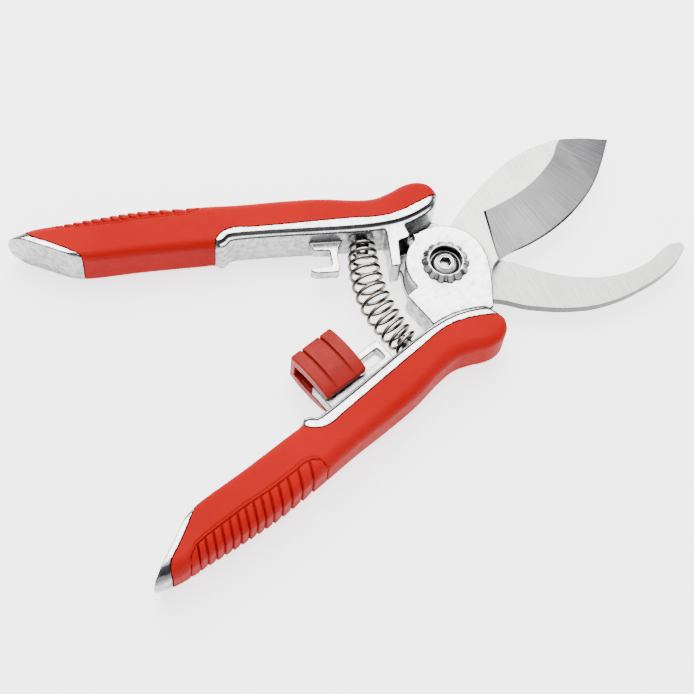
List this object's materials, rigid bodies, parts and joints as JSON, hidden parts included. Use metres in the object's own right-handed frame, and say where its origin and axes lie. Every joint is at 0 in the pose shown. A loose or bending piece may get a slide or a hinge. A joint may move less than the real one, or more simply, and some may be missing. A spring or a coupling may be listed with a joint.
{
  "type": "pruning shears",
  "caption": "Bypass pruning shears with cast metal handles, red soft grips, a bowed return spring, a toothed pivot nut and a sliding latch.",
  "frame": {"origin": "on the pivot axis, at the back face of the pivot bolt's head, in the plane that the shears rest on", "axes": "+Z out of the front along the pivot axis, +X along the middle of the open jaws towards the blade tips, +Y towards the handle that carries the counter blade"},
  "size_m": [0.195, 0.1206, 0.0162],
  "materials": {
    "casting": "polished die casting, slightly mottled",
    "grip": "matte soft moulding",
    "knob": "matte moulding",
    "blade": "ground steel",
    "steel": "bright nickel plate",
    "nut": "bright plated, as cast",
    "spring": "nickel plated wire",
    "bronze": "plain"
  },
  "bodies": {
    "lower": {"lower_handle": "casting", "lower_grip": "grip", "cutting_blade": "blade", "cutting_blade_dowel_1": "steel", "cutting_blade_dowel_2": "steel", "pivot_bolt": "steel", "pivot_bush": "bronze", "spring_washer": "steel", "adjusting_nut": "nut", "lock_screw": "steel", "return_spring": "spring"},
    "upper": {"upper_handle": "casting", "upper_grip": "grip", "counter_blade": "blade", "counter_blade_dowel_1": "steel", "counter_blade_dowel_2": "steel"},
    "latch": {"latch_knob": "knob", "latch_pin": "steel"}
  },
  "joints": [
    {"name": "pivot", "type": "hinge", "parent": "lower", "child": "upper", "pos_m": [0, 0, 0.0078], "axis": [0, 0, 1], "range_deg": [0, 37], "stiffness_Nm_per_rad": 0.9, "springref_deg": -34.38, "deforming": ["return_spring"]},
    {"name": "latch_slide", "type": "slide", "parent": "lower", "child": "latch", "axis": [0.9598, 0.2807, 0], "range_m": [0, 0.007]}
  ]
}
